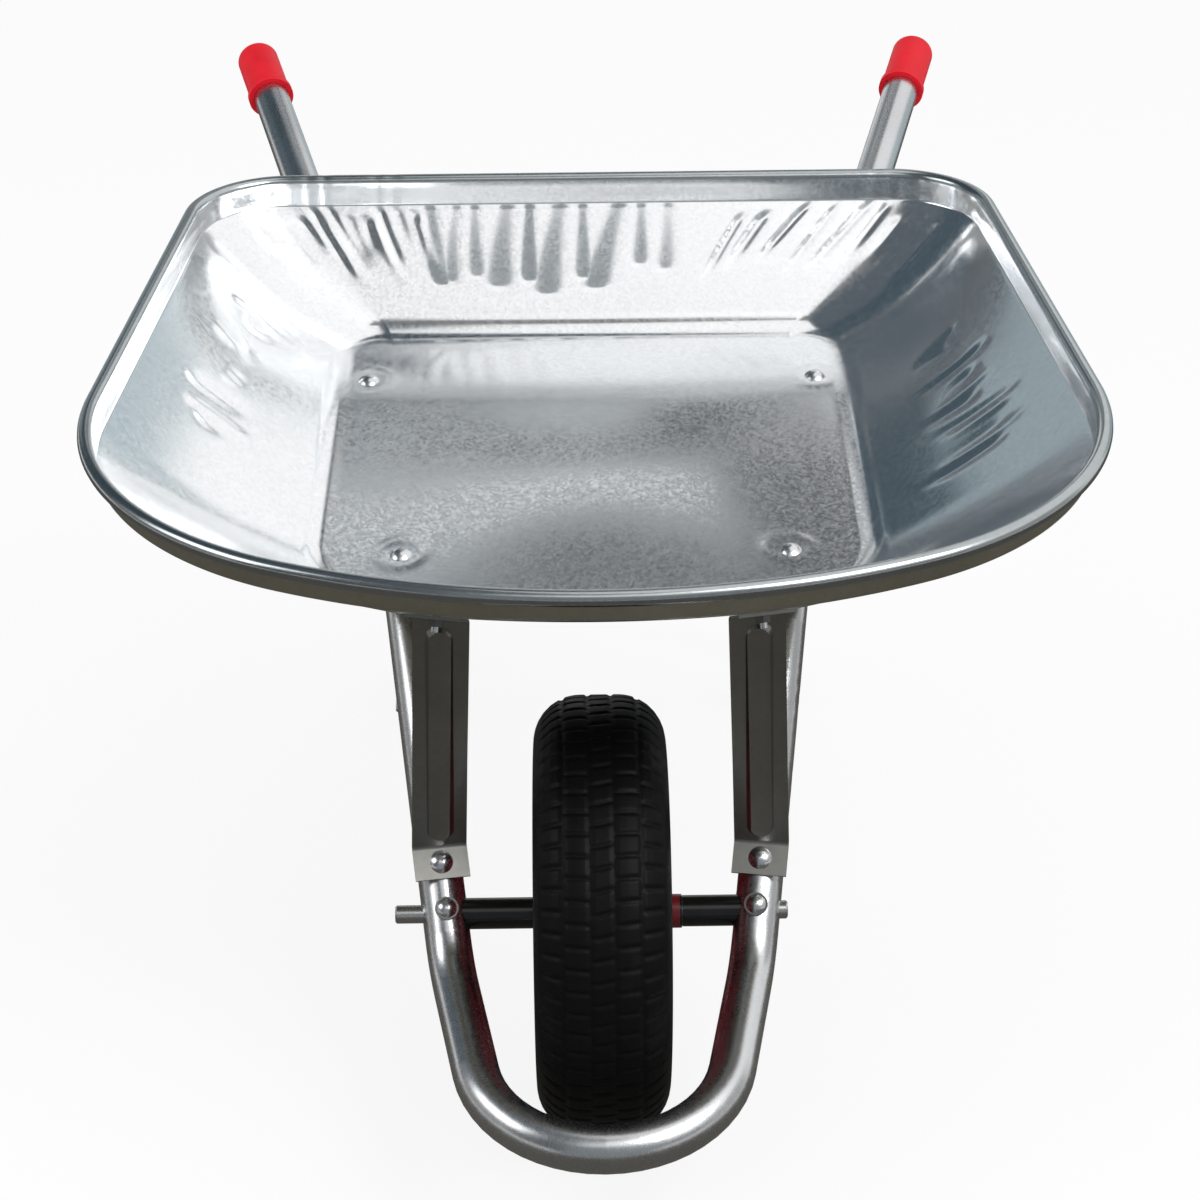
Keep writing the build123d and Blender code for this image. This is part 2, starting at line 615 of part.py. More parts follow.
brace_nuts = mirrored(hex_nut(brace_tail, brace_out * -1, M6))

nodes = {
    "frame_tube": [frame_tube],
    "tray": [tray],
    "strut_right": [strut],
    "strut_left": [mirror(strut, Plane.YZ)],
    "strut_foot_bolts": mirrored(foot_bolt),
    "strut_foot_washers": mirrored(foot_washer),
    "strut_foot_nuts": mirrored(foot_nut),
    "strut_head_bolts": mirrored(head_bolt),
    "strut_head_nuts": mirrored(head_nut),
    "tray_bolts": tray_bolts,
    "tray_washers": tray_washers,
    "tray_nuts": tray_nuts,
    "grip_right": [grip],
    "grip_left": [mirror(grip, Plane.YZ)],
    "axle": [axle],
    "axle_lock_bolts": mirrored(lock_bolt),
    "axle_lock_washers": mirrored(lock_cup),
    "axle_lock_nuts": mirrored(lock_nut),
    "spacer_right": [spacer_right],
    "spacer_left": [spacer_left],
    "tyre": [tyre],
    "inner_tube": [inner_tube],
    "rim_right": [rim_right],
    "rim_left": [rim_left],
    "rim_bolts": rim_bolts,
    "rim_nuts": rim_nuts,
    "hub": [hub],
    "bush_right": [bush_right],
    "bush_left": [bush_left],
    "valve_stem": [valve_stem],
    "valve_cap": [valve_cap],
    "leg_right": [leg],
    "leg_left": [mirror(leg, Plane.YZ)],
    "leg_bolts": leg_bolts,
    "leg_washers": leg_washers,
    "leg_nuts": leg_nuts,
    "skid_right": [skid],
    "skid_left": [mirror(skid, Plane.YZ)],
    "leg_brace": [brace],
    "brace_bolts": brace_bolts,
    "brace_nuts": brace_nuts,
}

# The origin lies on the floor under the middle of the whole length.
front_y = -BOW_REACH - TUBE_D / 2
rear_y = grip.bounding_box().max.Y
to_middle = Pos(0, -(front_y + rear_y) / 2, 0)
for name, solids in nodes.items():
    moved = [to_middle * piece for solid in solids for piece in solid.solids()]
    export_step(moved[0] if len(moved) == 1 else Compound(children=moved), f"parts/{name}.step")
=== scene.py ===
import json
import math
import random

import bpy
import numpy as np
from mathutils import Matrix, Vector


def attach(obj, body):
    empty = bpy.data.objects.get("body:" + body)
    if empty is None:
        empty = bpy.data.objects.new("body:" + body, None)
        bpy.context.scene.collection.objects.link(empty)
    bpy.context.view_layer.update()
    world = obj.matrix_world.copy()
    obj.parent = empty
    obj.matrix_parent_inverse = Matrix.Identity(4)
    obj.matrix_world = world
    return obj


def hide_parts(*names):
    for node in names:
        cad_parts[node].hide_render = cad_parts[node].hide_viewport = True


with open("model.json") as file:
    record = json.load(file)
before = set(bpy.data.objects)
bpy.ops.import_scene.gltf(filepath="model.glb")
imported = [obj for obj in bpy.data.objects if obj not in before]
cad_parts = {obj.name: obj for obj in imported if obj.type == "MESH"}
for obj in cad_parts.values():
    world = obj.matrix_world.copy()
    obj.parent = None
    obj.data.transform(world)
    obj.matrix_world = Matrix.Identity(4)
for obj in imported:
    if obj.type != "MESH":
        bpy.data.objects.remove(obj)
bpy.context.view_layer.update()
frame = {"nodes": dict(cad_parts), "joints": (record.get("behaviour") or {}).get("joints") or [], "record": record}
nodes = frame["nodes"]
AXLE = Vector(frame["joints"][0]["pos_m"])
MM = 0.001


# Meshes and node trees.
def add_object(name, data):
    obj = bpy.data.objects.new(name, data)
    bpy.context.scene.collection.objects.link(obj)
    return obj


def new_mesh(name, verts, faces, body, materials):
    """A smooth piece of the part, on its body and in its material slot."""
    mesh = bpy.data.meshes.new(name)
    mesh.from_pydata([tuple(v) for v in verts], [], faces)
    mesh.validate()
    obj = add_object(name, mesh)
    mesh.polygons.foreach_set("use_smooth", [True] * len(mesh.polygons))
    for material in materials:
        mesh.materials.append(material)
    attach(obj, body)
    return obj


def net(rows, cols, closed):
    """Quads of a grid whose columns join up; with closed, its rows do too."""
    faces = []
    for r in range(rows if closed else rows - 1):
        here, there = r * cols, (r + 1) % rows * cols
        for c in range(cols):
            d = (c + 1) % cols
            faces.append((here + c, there + c, there + d, here + d))
    return faces


def node_material(name):
    mat = bpy.data.materials.new(name)
    mat.use_nodes = True
    return mat, mat.node_tree


def shader(name):
    mat, tree = node_material(name)
    return mat, tree, tree.nodes["Principled BSDF"], tree.nodes.new("ShaderNodeTexCoord")


def math_node(tree, kind, operation):
    node = tree.nodes.new(kind)
    node.operation = operation
    return node


def noise_tex(tree, coord, scale, detail, rough=0.55):
    tex = tree.nodes.new("ShaderNodeTexNoise")
    tex.inputs["Scale"].default_value = scale
    tex.inputs["Detail"].default_value = detail
    tex.inputs["Roughness"].default_value = rough
    tree.links.new(coord.outputs["Object"], tex.inputs["Vector"])
    return tex


def ramp(tree, source, *stops):
    """Colour output of a ramp; each stop is a place and a colour or grey level."""
    node = tree.nodes.new("ShaderNodeValToRGB")
    while len(node.color_ramp.elements) < len(stops):
        node.color_ramp.elements.new(0.5)
    for element, (at, value) in zip(node.color_ramp.elements, stops):
        element.position = at
        element.color = (*value, 1) if isinstance(value, tuple) else (value, value, value, 1)
    tree.links.new(source, node.inputs["Fac"])
    return node.outputs["Color"]


def multiply(tree, share, first, second):
    node = tree.nodes.new("ShaderNodeMix")
    node.data_type = "RGBA"
    node.blend_type = "MULTIPLY"
    node.inputs[0].default_value = share
    tree.links.new(first, node.inputs[6])
    tree.links.new(second, node.inputs[7])
    return node.outputs[2]


def bump(tree, bsdf, height, strength, distance):
    node = tree.nodes.new("ShaderNodeBump")
    node.inputs["Strength"].default_value = strength
    node.inputs["Distance"].default_value = distance
    tree.links.new(height, node.inputs["Height"])
    tree.links.new(node.outputs["Normal"], bsdf.inputs["Normal"])
    return node


# Materials.
CRYSTAL_WARP = 0.006
CRYSTAL_STEP = 0.0003
HAZE_SHARE = 0.7
MARK_SLOPE = "mark_slope"
MARK_TURN = 0.105


def galvanised(name, light, dark, rough, grain, cloud, fleck, relief, uneven):
    """Zinc coat: crystal flecks, soft clouds and a slightly uneven polish."""
    mat, tree, bsdf, coord = shader(name)
    bsdf.inputs["Metallic"].default_value = 1.0
    warp = noise_tex(tree, coord, grain / 4, 2.0)
    bent = math_node(tree, "ShaderNodeVectorMath", "MULTIPLY_ADD")
    bent.inputs[1].default_value = (CRYSTAL_WARP, CRYSTAL_WARP, CRYSTAL_WARP)
    tree.links.new(warp.outputs["Color"], bent.inputs[0])
    tree.links.new(coord.outputs["Object"], bent.inputs[2])
    cells = tree.nodes.new("ShaderNodeTexVoronoi")
    cells.feature = "F1"
    cells.inputs["Scale"].default_value = grain
    cells.inputs["Randomness"].default_value = 1.0
    tree.links.new(bent.outputs["Vector"], cells.inputs["Vector"])
    crystal = tree.nodes.new("ShaderNodeSeparateColor")
    tree.links.new(cells.outputs["Color"], crystal.inputs["Color"])
    clouds = noise_tex(tree, coord, cloud, 5.0, 0.6).outputs["Fac"]
    tone = ramp(tree, clouds, (0.3, dark), (0.72, light))
    flecks = ramp(tree, crystal.outputs["Red"], (0.0, 0.62), (0.55, 0.9), (1.0, 1.0))
    tree.links.new(multiply(tree, fleck, tone, flecks), bsdf.inputs["Base Color"])
    shine = ramp(tree, crystal.outputs["Green"], (0.0, rough * (1 - uneven)), (1.0, rough * (1 + uneven)))
    haze = ramp(tree, clouds, (0.3, 0.8), (0.75, 1.0))
    tree.links.new(multiply(tree, HAZE_SHARE, shine, haze), bsdf.inputs["Roughness"])
    grains = bump(tree, bsdf, crystal.outputs["Blue"], relief, CRYSTAL_STEP)
    return mat, grains


def turn_down(mat, grains):
    """The press marks stored on the mesh turn the sheet's normal down."""
    tree = mat.node_tree
    slope = tree.nodes.new("ShaderNodeAttribute")
    slope.attribute_name = MARK_SLOPE
    facing = tree.nodes.new("ShaderNodeNewGeometry")
    turn = math_node(tree, "ShaderNodeVectorMath", "MULTIPLY_ADD")
    turn.inputs[1].default_value = (0, 0, -MARK_TURN)
    tree.links.new(slope.outputs["Fac"], turn.inputs[0])
    tree.links.new(facing.outputs["Normal"], turn.inputs[2])
    straight = math_node(tree, "ShaderNodeVectorMath", "NORMALIZE")
    tree.links.new(turn.outputs["Vector"], straight.inputs[0])
    tree.links.new(straight.outputs["Vector"], grains.inputs["Normal"])


def clouded(name, gloss, cloud, tones, polish, pore, relief):
    """Plastic, paint or rubber: clouds of tone and polish over fine pores.

    cloud is (scale, detail, roughness), pore is (scale, detail) and relief is (strength, distance).
    """
    mat, tree, bsdf, coord = shader(name)
    bsdf.inputs["Specular IOR Level"].default_value = gloss
    clouds = noise_tex(tree, coord, *cloud).outputs["Fac"]
    tree.links.new(ramp(tree, clouds, *tones), bsdf.inputs["Base Color"])
    tree.links.new(ramp(tree, clouds, *polish), bsdf.inputs["Roughness"])
    bump(tree, bsdf, noise_tex(tree, coord, *pore).outputs["Fac"], *relief)
    return mat


def plastic(name, base, shade, rough, pore, relief, gloss):
    return clouded(
        name, gloss, (40.0, 4.0), ((0.3, shade), (0.7, base)),
        ((0.3, rough * 0.85), (0.75, rough * 1.15)), (pore, 2.0), (relief, 0.0004),
    )


def rubber(name, base, dust, rough):
    return clouded(
        name, 0.12, (22.0, 6.0, 0.65), ((0.35, base), (0.62, base), (0.85, dust)),
        ((0.3, rough * 0.85), (0.8, rough * 1.2)), (700.0, 3.0), (0.25, 0.0005),
    )


# Name: light, dark, roughness, grain, cloud, fleck, relief, unevenness.
ZINC = {
    "sheet_inside": ((0.965, 0.975, 0.985), (0.92, 0.935, 0.945), 0.17, 420.0, 9.0, 0.15, 0.03, 0.28),
    # The rolled rim's zinc: painted shade, a darker grey copy of the sheet zinc that stands for the dark
    # reflections along the roll.
    "sheet_rim_shade": ((0.52, 0.55, 0.56), (0.44, 0.47, 0.48), 0.24, 300.0, 7.0, 0.10, 0.004, 0.08),
    # The outside of the tray sheet: painted shade, darker and more olive than the inside so it stands for the dark
    # reflections on the outer band.
    "sheet_outside_shade": ((0.66, 0.64, 0.54), (0.54, 0.52, 0.44), 0.36, 300.0, 6.0, 0.12, 0.006, 0.1),
    "tube_zinc": ((0.72, 0.73, 0.74), (0.60, 0.61, 0.62), 0.30, 300.0, 7.0, 0.06, 0.004, 0.06),
    # The struts' zinc: painted shade, darker than the tube zinc so it stands for the dark reflections on the strut
    # faces.
    "strip_zinc_shade": ((0.42, 0.415, 0.39), (0.33, 0.325, 0.305), 0.36, 300.0, 7.0, 0.12, 0.006, 0.08),
    "bolt_zinc": ((0.82, 0.83, 0.84), (0.70, 0.71, 0.73), 0.28, 500.0, 20.0, 0.08, 0.004, 0.08),
    # The lock washers' and head nuts' zinc: painted shade, near black so the washers read as the shaded seats
    # round the axle lock bolts and the nuts sink into the shade under the band.
    "shaded_zinc": ((0.22, 0.22, 0.21), (0.15, 0.15, 0.145), 0.45, 500.0, 20.0, 0.2, 0.006, 0.1),
    "rod_steel": ((0.72, 0.72, 0.71), (0.60, 0.60, 0.59), 0.30, 500.0, 20.0, 0.08, 0.004, 0.08),
}
# Name: base, shade, roughness, pores, relief, gloss.
PLASTIC = {
    "red_grip": ((0.78, 0.008, 0.022), (0.66, 0.006, 0.017), 0.5, 900.0, 0.15, 0.2),
    "black_plastic": ((0.006, 0.006, 0.006), (0.004, 0.004, 0.004), 0.18, 300.0, 0.03, 0.5),
    "red_paint": ((0.17, 0.008, 0.014), (0.12, 0.006, 0.010), 0.34, 300.0, 0.05, 0.5),
}
# Name: base, dust, roughness.
RUBBER = {
    "tyre_rubber": ((0.0030, 0.0030, 0.0032), (0.009, 0.009, 0.009), 0.5),
    "tube_rubber": ((0.02, 0.02, 0.02), (0.04, 0.04, 0.04), 0.7),
}
look = {}
for name, values in ZINC.items():
    look[name], grains = galvanised(name, *values)
    if name == "sheet_inside":
        turn_down(look[name], grains)
for name, values in PLASTIC.items():
    look[name] = plastic(name, *values)
for name, values in RUBBER.items():
    look[name] = rubber(name, *values)

BY_SLOT = {
    "galvanised_sheet": "sheet_inside",
    "galvanised_tube": "tube_zinc",
    # Painted shade: the struts take the darker strip zinc.
    "galvanised_strip": "strip_zinc_shade",
    "zinc_fastener": "bolt_zinc",
    "bright_steel": "rod_steel",
    "red_grip": "red_grip",
    "black_spacer": "black_plastic",
    "bush_nylon": "black_plastic",
    "tyre": "tyre_rubber",
    "inner_tube": "tube_rubber",
    "red_rim": "red_paint",
    "valve_rubber": "tube_rubber",
}
# Painted shade: the axle lock washers and strut head nuts take the near-black zinc.
BY_NODE = {"axle_lock_washers": "shaded_zinc", "strut_head_nuts": "shaded_zinc"}
for part in frame["record"]["subparts"]:
    obj = nodes[part["node"]]
    obj.data.materials.clear()
    obj.data.materials.append(look[BY_NODE.get(part["node"]) or BY_SLOT[part["material_slot"]]])


# Shapes shared by tray and tyre.
def unit(v):
    return v / np.linalg.norm(v, axis=-1, keepdims=True)


def smooth(x):
    x = np.clip(x, 0, 1)
    return x * x * (3 - 2 * x)


def corner(a, p, b, r, n):
    """Arc of radius r that rounds the corner at p between the ways to a and to b."""
    u, w = unit(a - p), unit(b - p)
    half = np.arccos(np.clip((u * w).sum(1), -1, 1)) / 2
    reach = (r / np.tan(half))[:, None]
    centre = p + unit(u + w) * (r / np.sin(half))[:, None]
    start, end = p + u * reach, p + w * reach
    return [
        centre + unit((start - centre) * (1 - t) + (end - centre) * t) * r for t in np.linspace(0, 1, n)
    ]


# Tray, in millimetres from the axle: floor and rim are outlines in two planes of different slope.
SHEET = 1.2
FLOOR_FRONT = (120.0, 356.8)
FLOOR_SLOPE = math.atan(0.16)
FLOOR = dict(front=0.0, back=450.4, half=226.0, nose_r=900.0, nose_half=140.0, taper=0.5, heel_r=45.0)
FLOOR_INSET = 60.0
FLOOR_ROUND = 34.0
RIM_FRONT = (-144.0, 508.0)
RIM_SLOPE = math.atan(49 / 778)
RIM = dict(front=0.0, back=779.5, half=392.0, nose_r=560.0, nose_half=230.0, taper=5.1, heel_r=88.0)
ROLL_D = 12.0
COLLAR = 27.0
COLLAR_ROUND = 3.0
TRAY_BOLTS = ((156.7, 217.0), (196.4, 486.0))

# Points along each run of the outline, and rings from the middle of the floor to the rolled rim.
STEPS = (110, 70, 100, 44, 420)
RUNS = np.cumsum((0, *STEPS, *STEPS[3:0:-1]))
RIGHT_CHEEK, RIGHT_SIDE, RIGHT_HEEL, BACK, LEFT_HEEL, LEFT_SIDE, LEFT_CHEEK = range(1, 8)
FLOOR_RINGS = 46
FLOOR_START = 0.06
TURN_RINGS = 9
TURN_LEVEL = 0.02
WALL_RINGS = 64
WALL_FOOT = 0.16
FOLD_RINGS = 5
COLLAR_RINGS = (0.33, 0.66)
ROLL_RINGS = 23
ROLL_ARC = (180, -150)
RIM_EDGE = -12


def outline(inset, front, back, half, nose_r, nose_half, taper, heel_r):
    """Points round the tray: nose, right cheek, side and heel, back, left heel, side and cheek."""
    lean = math.asin(nose_half / nose_r)
    turn = math.radians(taper)
    nose_a = math.degrees(lean)
    cheek_r = (half - nose_half) / (1 - math.sin(lean))
    nose = np.array([0, front + nose_r])
    cheek = nose + (nose_r - cheek_r) * np.array([math.sin(lean), -math.cos(lean)])
    heel_y = back - heel_r
    reach = cheek[0] * math.cos(turn) + cheek[1] * math.sin(turn) + cheek_r
    heel = np.array([(reach - heel_r - heel_y * math.sin(turn)) / math.cos(turn), heel_y])
    mirror = np.array([-1, 1])
    up = np.array([0, 1])
    side = np.array([math.cos(turn), math.sin(turn)])

    def arc(centre, r, a0, a1, n):
        a = np.radians(np.linspace(a0, a1, n, endpoint=False))
        return centre + (r - inset) * np.stack([np.cos(a), np.sin(a)], 1)

    def line(p, q, n):
        return p + (q - p) * np.linspace(0, 1, n, endpoint=False)[:, None]

    side_from, side_to = cheek + side * (cheek_r - inset), heel + side * (heel_r - inset)
    back_from = heel + up * (heel_r - inset)
    nose_n, cheek_n, side_n, heel_n, back_n = STEPS
    return np.concatenate([
        arc(nose, nose_r, 270 - nose_a, 270 + nose_a, nose_n),
        arc(cheek, cheek_r, nose_a - 90, taper, cheek_n),
        line(side_from, side_to, side_n),
        arc(heel, heel_r, taper, 90, heel_n),
        line(back_from, back_from * mirror, back_n),
        arc(heel * mirror, heel_r, 90, 180 - taper, heel_n),
        line(side_to * mirror, side_from * mirror, side_n),
        arc(cheek * mirror, cheek_r, 180 - taper, 270 - nose_a, cheek_n),
    ])


def in_plane(points, z, origin, slope):
    c, s = math.cos(slope), math.sin(slope)
    x, y = points[:, 0], points[:, 1]
    return np.stack([x, origin[0] + y * c - z * s, origin[1] + y * s + z * c], 1)


def rim_ring(z, inset):
    return in_plane(outline(inset, **RIM), z, RIM_FRONT, RIM_SLOPE)


def floor_ring(inset):
    return in_plane(outline(inset, **FLOOR), 0.0, FLOOR_FRONT, FLOOR_SLOPE)


def between(start, end, shares):
    return [start + (end - start) * t for t in shares]


def tray_grid():
    """Rings of points, each ring's level (0 on the floor, 1 from the collar up) and the points' normals."""
    bend = rim_ring(0.45 * SHEET - COLLAR, ROLL_D)
    top = rim_ring(-ROLL_D / 2, ROLL_D)
    turn = corner(floor_ring(FLOOR_INSET), floor_ring(0.4 * SHEET), bend, FLOOR_ROUND, TURN_RINGS)
    fold = corner(turn[-1], bend, top, COLLAR_ROUND, FOLD_RINGS)
    up = np.arange(1, WALL_RINGS) / WALL_RINGS
    rings = between(turn[0].mean(0), turn[0], np.linspace(FLOOR_START, 1, FLOOR_RINGS)[:-1])
    level = [0.0] * len(rings)
    rings += turn + between(turn[-1], fold[0], up)
    level += [TURN_LEVEL * k for k in range(TURN_RINGS)] + list(WALL_FOOT + (1 - WALL_FOOT) * up)
    rings += fold + between(fold[-1], top, COLLAR_RINGS)
    roll_r = ROLL_D / 2
    roll = outline(roll_r, **RIM)
    outward = unit(outline(0.0, **RIM) - roll)
    for a in np.radians(np.linspace(*ROLL_ARC, ROLL_RINGS)):
        flat = roll + outward * roll_r * math.cos(a)
        rings.append(in_plane(flat, roll_r * (math.sin(a) - 1), RIM_FRONT, RIM_SLOPE))
    level += [1.0] * (len(rings) - len(level))
    grid = np.stack(rings)
    along = np.roll(grid, -1, 1) - np.roll(grid, 1, 1)
    normal = unit(np.cross(np.gradient(grid, axis=0), along))
    if normal[:FLOOR_RINGS - 1, :, 2].mean() < 0:
        normal = -normal
    return grid, np.array(level), normal


# Soft press marks in the back wall: x of the top, half width, lean to the left, lower end, strength.
MARKS = (
    (72, 12, -12, 0.46, 0.75), (47, 11, -8, 0.50, 0.9), (28, 19, 22, 0.32, 0.95), (-6, 11, 2, 0.40, 1.0),
    (-26, 19, 26, 0.28, 0.95), (-54, 11, 16, 0.38, 1.2), (-74, 18, 32, 0.34, 0.95),
    (-104, 11, 24, 0.42, 0.9), (-120, 11, 39, 0.38, 0.8), (-145, 12, 27, 0.36, 1.1),
)
MARK_DEEP = 0.4
MARK_START = 0.03
MARK_END = 0.10
MARK_END_FADE = 2.5
MARK_TOP_WIDTH = 0.45
MARK_TOP_STRENGTH = 0.75
MARK_EDGE = 2.6


def press_marks(level, rim):
    """Each mark starts at the collar, widens on its way down and ends round."""
    v, x = level[:, None], rim[None, :, 0]
    marks = np.zeros((len(level), len(rim)))
    for top, half, lean, low, strength in MARKS:
        fall = np.clip((1 - v) / (1 - low), 0, 2)
        end = np.clip((v - low) / MARK_END, 0.001, 1)
        width = MARK_TOP_WIDTH + (1 - MARK_TOP_WIDTH) * fall
        spread = half * width * np.sqrt(end * (2 - end))
        across = np.exp(-(np.abs((x - top + lean * fall) / spread) ** MARK_EDGE))
        deeper = MARK_TOP_STRENGTH + (1 - MARK_TOP_STRENGTH) * fall
        marks = np.maximum(marks, strength * across * smooth(MARK_END_FADE * end) * deeper)
    marks[:, :RUNS[BACK]] = 0
    marks[:, RUNS[BACK + 1]:] = 0
    return marks * smooth((1 - v) / MARK_START)


# Rows of press flutes: run, its start and end, pitch, half width, lower end, upper end, height, lean.
FLUTES = (
    (BACK, 0.02, 0.24, (22, 36), (4, 7), (0.30, 0.55), (0.94, 1.04), (-1.0, -0.4), (10, 24)),
    (BACK, 0.80, 1.00, (13, 20), (4, 6), (0.40, 0.62), (0.96, 1.05), (-1.0, -0.4), (4, 20)),
    (BACK, 0.80, 0.98, (28, 46), (5, 8), (0.30, 0.46), (0.82, 0.95), (0.3, 0.8), (4, 16)),
    (RIGHT_HEEL, 0.45, 0.98, (16, 28), (4, 7), (0.30, 0.55), (0.90, 1.02), (-1.8, -0.6), (0, 0)),
    (LEFT_HEEL, 0.02, 0.60, (14, 26), (3.5, 6), (0.50, 0.70), (0.90, 1.0), (-1.6, -0.5), (0, 0)),
    (LEFT_SIDE, 0.02, 0.72, (24, 58), (5, 11), (0.24, 0.50), (0.62, 0.88), (-3.6, -1.4), (-6, 12)),
    (LEFT_SIDE, 0.08, 0.66, (46, 90), (5, 8), (0.36, 0.54), (0.64, 0.84), (1.0, 2.2), (-6, 12)),
    (RIGHT_SIDE, 0.14, 0.72, (20, 44), (4, 9), (0.26, 0.52), (0.66, 0.92), (-2.6, -0.9), (-12, 6)),
    (RIGHT_SIDE, 0.18, 0.66, (30, 66), (3.5, 6), (0.34, 0.54), (0.66, 0.90), (0.6, 1.7), (-12, 6)),
)
FLUTE_SEED = 11
FLUTE_FLARE = 0.3
FLUTE_LEAST = 0.3
FLUTE_START = 0.24
FLUTE_END = 0.10


def flute(v, column, at, width, low, high, height, lean):
    """One flute down the wall, centred on a column at its top."""
    fall = (high - v) / (high - low)
    spread = np.maximum(width * (1 + FLUTE_FLARE * fall), FLUTE_LEAST)
    across = np.exp(-(((column - at - lean * fall) / spread) ** 2))
    return height * across * smooth((v - low) / FLUTE_START) * smooth((high - v) / FLUTE_END)


def flutes(level, rim):
    rnd = random.Random(FLUTE_SEED)
    v = level[:, None]
    column = np.arange(len(rim))[None, :].astype(float)
    step = np.linalg.norm(np.roll(rim, -1, 0) - rim, axis=1)
    lift = np.zeros((len(level), len(rim)))
    for run, start, end, pitch, width, low, high, height, lean in FLUTES:
        first, last = RUNS[run], RUNS[run + 1]
        length = step[first:last].sum()
        mm = length / (last - first)
        at = start * length
        while at < end * length:
            lift += flute(
                v, column, first + at / mm, rnd.uniform(*width) / mm, rnd.uniform(*low),
                rnd.uniform(*high), rnd.uniform(*height), rnd.uniform(*lean) / mm,
            )
            at += rnd.uniform(*pitch)
    return lift


WALL_BULGE = -9.0
FLOOR_BULGE = 3.2
BULGE_MIDDLE = (0.0, 330.0)
BULGE_HALF = (190.0, 210.0)
SEAT_LIFT = 0.25
SEAT_R = 18.0
SEAT_WIDTH = 5.0


def wall_bulge(level):
    """The side walls bow outwards a little between the floor and the collar."""
    weight = np.zeros(RUNS[-1])
    for cheek, side, heel in ((RIGHT_CHEEK, RIGHT_SIDE, RIGHT_HEEL), (LEFT_CHEEK, LEFT_SIDE, LEFT_HEEL)):
        weight[RUNS[side]:RUNS[side + 1]] = 1.0
        for run in (cheek, heel):
            rise = np.linspace(0, 1, RUNS[run + 1] - RUNS[run])
            weight[RUNS[run]:RUNS[run + 1]] = smooth(rise if run < side else 1 - rise)
    v = np.clip((level - WALL_FOOT) / (1 - WALL_FOOT), 0, 1)
    return (WALL_BULGE * 4 * v * (1 - v))[:, None] * weight[None, :]


def floor_lift(x, y):
    """The floor's crown and a low ring round each bolt."""
    lift = FLOOR_BULGE
    for at, middle, half in zip((x, y), BULGE_MIDDLE, BULGE_HALF):
        lift = lift * smooth(1 - np.abs(at - middle) / half)
    for bolt_x, bolt_y in TRAY_BOLTS:
        for side in (-1, 1):
            far = np.hypot(x - side * bolt_x, y - bolt_y)
            lift = lift + SEAT_LIFT * np.exp(-(((far - SEAT_R) / SEAT_WIDTH) ** 2))
    return lift


def build_tray():
    grid, level, normal = tray_grid()
    rim = grid[RIM_EDGE]
    marks = press_marks(level, rim)
    relief = flutes(level, rim) - MARK_DEEP * marks + wall_bulge(level)
    grid = grid + normal * relief[..., None]
    on_floor = level[:, None] == 0
    lift = np.where(on_floor, floor_lift(grid[..., 0], grid[..., 1]), 0)
    grid = grid + normal * lift[..., None]
    rows, cols = grid.shape[:2]
    verts = grid.reshape(-1, 3) * MM + np.array([0, AXLE.y, 0])
    centre = len(verts)
    verts = np.concatenate([verts, verts[:cols].mean(0)[None]])
    faces = net(rows, cols, False)
    # Painted shade: faces of the rolled rim take slot 2, the darker rim zinc.
    shade_slots = [2 if k // cols >= rows - ROLL_RINGS else 0 for k in range(len(faces))] + [0] * cols
    faces += [(centre, c, (c + 1) % cols) for c in range(cols)]
    # Painted shade: the outside and rolled-rim materials are darker copies of the inside zinc.
    inside, outside, rolled = look["sheet_inside"], look["sheet_outside_shade"], look["sheet_rim_shade"]
    tray = new_mesh(
        "tray_skin", verts, faces, "frame", [inside, outside, rolled, rolled]
    )
    tray.data.polygons.foreach_set("material_index", shade_slots)
    if tray.data.polygons[0].normal.z < 0:
        tray.data.flip_normals()
    slope = tray.data.attributes.new(MARK_SLOPE, "FLOAT", "POINT")
    slope.data.foreach_set("value", np.append(marks.reshape(-1), 0.0))
    skin = tray.modifiers.new("sheet", "SOLIDIFY")
    skin.thickness = SHEET * MM
    skin.offset = -1
    skin.use_even_offset = False
    # The back faces take the next slots, so the outside of the sheet and the back of the rim get the darker
    # painted-shade copies.
    skin.material_offset = 1
    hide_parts("tray")


# Tyre, in millimetres: half profiles from the bead to the crown as x, radius and bend, then the tread.
TYRE_R = 167.0
TYRE_OUTSIDE = [(40.0, 76.0, 0), (40.0, 90.0, 12.0), (50.5, 112.0, 20.0), (50.5, TYRE_R, 36.0)]
TYRE_INSIDE = [(31.0, 76.0, 0), (31.0, 90.0, 12.0), (43.5, 112.0, 13.0), (43.5, TYRE_R - 7.0, 29.0)]
BEND_POINTS = 10
OUTSIDE_STEP = 1.7
INSIDE_STEP = 9.0
AROUND = 756
TREAD_DEEP = 1.3
TREAD_EDGE = 1.7
TREAD_GROOVES = (-29.0, -9.0, 9.0, 29.0)
TREAD_REACH = 52.0
TREAD_FADE = 6.0
GROOVE_HALF = 1.5
BLOCKS = 63
BLOCK_GAP = 1.5
SHOULDER_GAP = 1.25 * BLOCK_GAP
MIDDLE_BAND = 2
MIDDLE_SKEW = 0.012
BLOCK_SPLAY = 0.004


def rounded_line(points):
    """Points of a polyline whose inner corners are rounded; each point is (x, r, bend)."""
    path = [np.array(points[0][:2])]
    for before, here, after in zip(points, points[1:], points[2:]):
        a, p, b = (np.array([q[:2]]) for q in (before, here, after))
        path += [q[0] for q in corner(a, p, b, here[2], BEND_POINTS)]
    path.append(np.array(points[-1][:2]))
    return np.array(path)


def spaced(path, gap):
    """Points at even steps along a path, and how far each lies from the path's middle."""
    run = np.concatenate([[0], np.cumsum(np.linalg.norm(np.diff(path, axis=0), axis=1))])
    at = np.linspace(0, run[-1], int(run[-1] / gap))
    return np.stack([np.interp(at, run, path[:, k]) for k in (0, 1)], 1), at - run[-1] / 2


def mirrored(profile):
    return [(-x, r, bend) for x, r, bend in profile]


